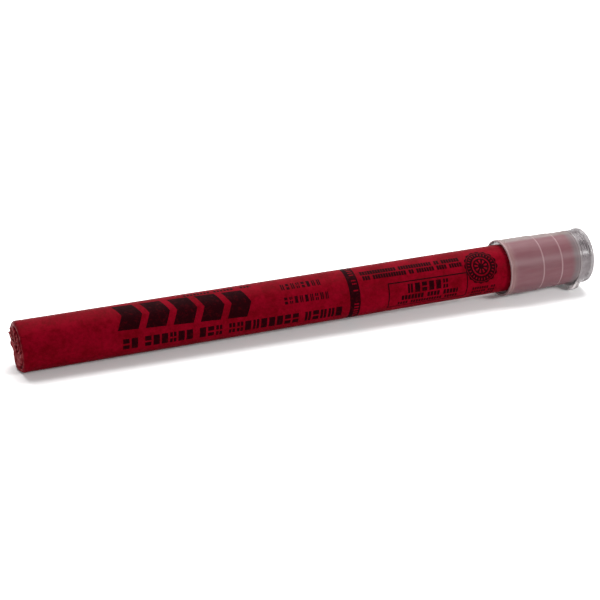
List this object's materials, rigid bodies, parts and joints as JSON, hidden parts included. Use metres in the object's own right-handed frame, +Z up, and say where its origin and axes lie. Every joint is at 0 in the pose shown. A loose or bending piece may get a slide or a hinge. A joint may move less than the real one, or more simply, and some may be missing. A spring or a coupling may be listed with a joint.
{
  "type": "road flare",
  "caption": "Red waxed-paper road flare: a rolled tube of burning mix with a folded-in end, a striking button, and a milky pull-off cap whose clear tabbed lid covers the striker.",
  "frame": {"origin": "on the tube's axis, midway along the bare tube between the folded end and the cap's mouth", "axes": "+X along the tube towards the striking end, +Z up, with the lid's pull tab hanging 22.5 degrees from -Z towards -Y"},
  "size_m": [0.2689, 0.0262, 0.0279],
  "materials": {
    "red_waxed_paper": "deep crimson waxed paper with dark ink marks, mottled, satin",
    "kraft_paper": "rolled brown kraft, matt",
    "chipboard": "grey-brown board, matt",
    "sawdust_plug": "pressed sawdust and wax, grainy",
    "burning_mix": "pressed powder, matt",
    "starter_mix": "pressed powder, matt",
    "igniter_mix": "dark hard button, slightly gritty",
    "milky_plastic": "natural translucent plastic, satin",
    "clear_plastic": "clear plastic with a faint haze, glossy",
    "striker_grit": "dark brown grit, matt"
  },
  "bodies": {
    "tube": {"outer_wrap": "red_waxed_paper", "casing_tube": "kraft_paper", "base_disc": "chipboard", "base_plug": "sawdust_plug", "main_composition": "burning_mix", "starter_charge": "starter_mix", "igniter_collar": "chipboard", "igniter_button": "igniter_mix"},
    "cap": {"cap_sleeve": "milky_plastic", "striker_card": "chipboard", "striker_compound": "striker_grit"},
    "lid": {"striker_lid": "clear_plastic"}
  },
  "joints": [
    {"name": "cap_pull", "type": "slide", "parent": "tube", "child": "cap", "axis": [1, 0, 0], "range_m": [0, 0.06]},
    {"name": "lid_pull", "type": "slide", "parent": "cap", "child": "lid", "axis": [1, 0, 0], "range_m": [0, 0.02]}
  ]
}
